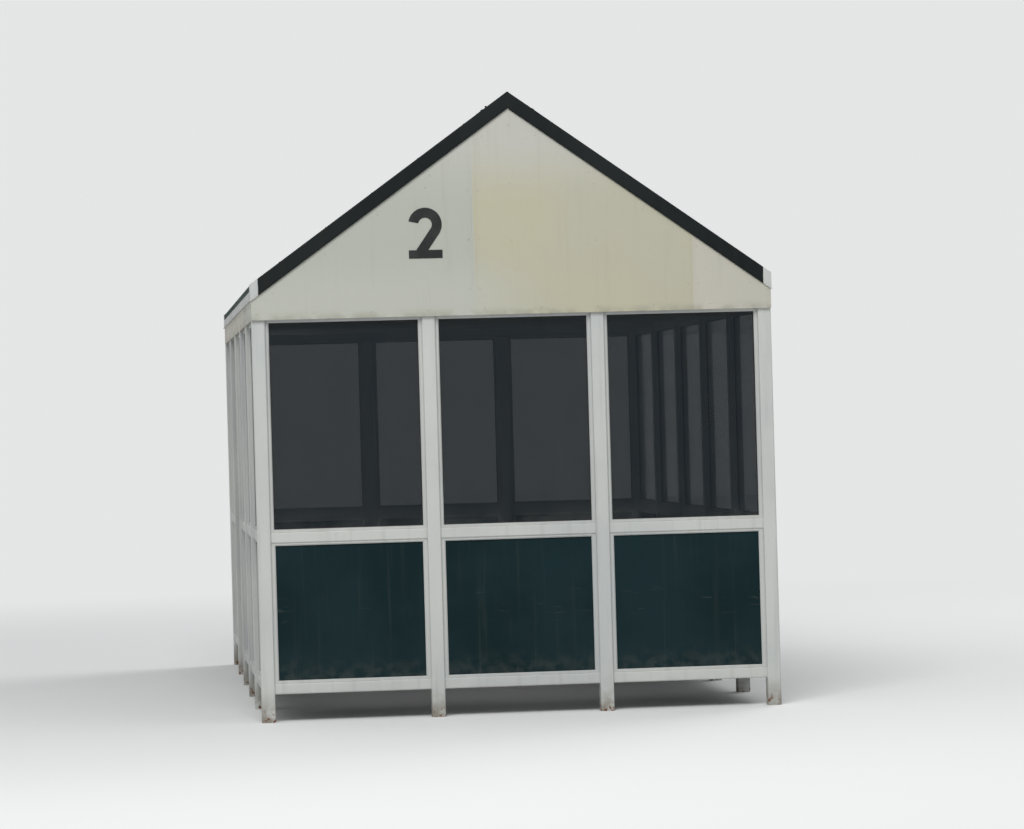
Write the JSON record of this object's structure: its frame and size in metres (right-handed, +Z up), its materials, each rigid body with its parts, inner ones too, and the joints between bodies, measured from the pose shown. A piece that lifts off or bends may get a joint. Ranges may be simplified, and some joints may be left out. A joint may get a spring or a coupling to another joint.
{
  "type": "glazed railway platform cabin",
  "caption": "Small gabled cabin for a railway platform: a square-tube frame with glass above green panels, boarded gables, a ribbed sheet roof and an open doorway.",
  "frame": {"origin": "on the ground at the middle of the plan", "axes": "+Z up, -Y out of the numbered front gable, -X out of the side with the open doorway"},
  "size_m": [2.917, 5.383, 3.4516],
  "materials": {
    "frame_paint": "satin cream paint on steel tube and eaves trim",
    "bead_paint": "satin cream paint on glazing beads",
    "board_paint": "cream paint on weatherproof board",
    "green_panel": "satin dark green paint",
    "glazing": "clear, slightly dusty",
    "roof_steel": "dark green coated steel sheet, weathered",
    "trim_steel": "near-black green folded trim"
  },
  "bodies": {
    "root": {"corner_posts": "frame_paint", "cross_ties": "frame_paint", "eaves_beam_left": "frame_paint", "eaves_beam_right": "frame_paint", "eaves_trims": "frame_paint", "front_bottom_rails": "frame_paint", "front_frames": "bead_paint", "front_glass": "glazing", "front_mid_rails": "frame_paint", "front_panels": "green_panel", "front_posts": "frame_paint", "gable_beam_front": "frame_paint", "gable_beam_rear": "frame_paint", "gable_board_front": "board_paint", "gable_board_rear": "board_paint", "gable_studs": "frame_paint", "left_bottom_rails": "frame_paint", "left_frames": "bead_paint", "left_glass": "glazing", "left_mid_rails": "frame_paint", "left_panels": "green_panel", "left_posts": "frame_paint", "purlins_left": "frame_paint", "purlins_right": "frame_paint", "rafters_left": "frame_paint", "rafters_right": "frame_paint", "rear_bottom_rails": "frame_paint", "rear_frames": "bead_paint", "rear_glass": "glazing", "rear_mid_rails": "frame_paint", "rear_panels": "green_panel", "rear_posts": "frame_paint", "ridge_beam": "frame_paint", "ridge_cap": "trim_steel", "right_bottom_rails": "frame_paint", "right_frames": "bead_paint", "right_glass": "glazing", "right_mid_rails": "frame_paint", "right_panels": "green_panel", "right_posts": "frame_paint", "roof_sheet_left": "roof_steel", "roof_sheet_right": "roof_steel", "side_fascias": "board_paint", "verge_trim_front": "trim_steel", "verge_trim_rear": "trim_steel"}
  },
  "joints": []
}
